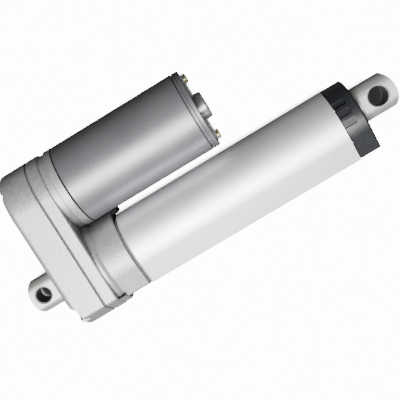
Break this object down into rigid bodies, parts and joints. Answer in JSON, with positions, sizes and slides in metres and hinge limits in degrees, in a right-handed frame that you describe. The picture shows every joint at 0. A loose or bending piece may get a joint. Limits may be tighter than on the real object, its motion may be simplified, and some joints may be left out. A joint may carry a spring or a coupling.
{
  "type": "linear actuator",
  "caption": "Electric linear actuator with an offset spur gearbox: the motor lies beside the push tube, and a rod with a cross-holed end slides out of a black front cap.",
  "frame": {"origin": "centre of the rear pin hole, on the rod axis", "axes": "+X along the rod toward its tip, +Y from the rod axis toward the motor axis, +Z along the pin holes"},
  "size_m": [0.1684, 0.0692, 0.0344],
  "materials": {
    "casting": "die-cast, silver painted, fine mottle",
    "tube": "extruded, satin anodised",
    "can": "drawn steel can, satin grey",
    "steel": "turned steel",
    "rod": "pale satin steel",
    "zinc": "yellowish zinc plate",
    "black_plastic": "glossy black moulding",
    "rubber": "matt black",
    "gasket": "grey fibre sheet",
    "gear_plastic": "natural acetal",
    "brass": "machined",
    "bronze": "sintered",
    "copper": "copper wire and segments",
    "magnet": "ferrite, matt dark grey",
    "carbon": "pressed carbon",
    "board": "circuit board laminate"
  },
  "bodies": {
    "case": {"rear_housing": "casting", "front_housing": "casting", "case_gasket": "gasket", "case_screw_1": "steel", "case_screw_2": "steel", "case_screw_3": "steel", "case_screw_4": "steel", "rear_clevis": "rod", "outer_tube": "tube", "tube_gasket": "rubber", "front_cap": "black_plastic", "guide_bush": "bronze", "wiper_seal": "rubber", "cap_screw_1": "steel", "cap_screw_2": "steel", "cap_screw_3": "steel", "cap_screw_4": "steel", "bearing_outer_ring": "steel", "bearing_retainer": "steel", "idler_pin": "steel", "cable_grommet": "rubber", "motor_can": "can", "magnet_front": "magnet", "magnet_back": "magnet", "motor_front_plate": "steel", "motor_front_bush": "bronze", "motor_end_cap": "steel", "motor_rear_bush": "bronze", "through_bolt_1": "zinc", "through_bolt_2": "zinc", "bolt_washer_1": "zinc", "bolt_washer_2": "zinc", "brush_card": "black_plastic", "brush_1": "carbon", "brush_2": "carbon", "switch_rail": "board", "limit_switch_rear": "black_plastic", "limit_switch_front": "black_plastic"},
    "rod": {"push_rod": "rod", "drive_nut": "gear_plastic", "front_clevis": "rod", "clevis_pin": "steel"},
    "screw": {"lead_screw": "steel", "screw_gear": "gear_plastic", "bearing_inner_ring": "steel", "bearing_cage": "brass", "screw_lock_nut": "zinc"},
    "idler": {"idler_gear": "gear_plastic", "idler_bush": "bronze"},
    "rotor": {"motor_shaft": "steel", "pinion": "brass", "armature_core": "steel", "armature_windings": "copper", "commutator": "copper"},
    "plunger_rear": {"plunger_rear": "gear_plastic"},
    "plunger_front": {"plunger_front": "gear_plastic"}
  },
  "joints": [
    {"name": "rod_extend", "type": "slide", "parent": "case", "child": "rod", "axis": [1, 0, 0], "range_m": [0, 0.05]},
    {"name": "screw_turn", "type": "hinge", "parent": "case", "child": "screw", "pos_m": [0.05, 0, 0], "axis": [1, 0, 0], "range_deg": [-4500, 0]},
    {"name": "idler_turn", "type": "hinge", "parent": "case", "child": "idler", "pos_m": [0.019, 0.0168, 0], "axis": [1, 0, 0], "range_deg": [0, 11250]},
    {"name": "motor_turn", "type": "hinge", "parent": "case", "child": "rotor", "pos_m": [0.05, 0.032, 0], "axis": [1, 0, 0], "range_deg": [-31500, 0]},
    {"name": "rear_switch_press", "type": "slide", "parent": "case", "child": "plunger_rear", "axis": [-1, 0, 0], "range_m": [0, 0.0009], "stiffness_N_per_m": 150},
    {"name": "front_switch_press", "type": "slide", "parent": "case", "child": "plunger_front", "axis": [1, 0, 0], "range_m": [0, 0.0009], "stiffness_N_per_m": 150}
  ],
  "couplings": [
    {"joint": "screw_turn", "follows": "rod_extend", "rad_per_m": -1570.8},
    {"joint": "idler_turn", "follows": "rod_extend", "rad_per_m": 3927},
    {"joint": "motor_turn", "follows": "rod_extend", "rad_per_m": -10996}
  ]
}
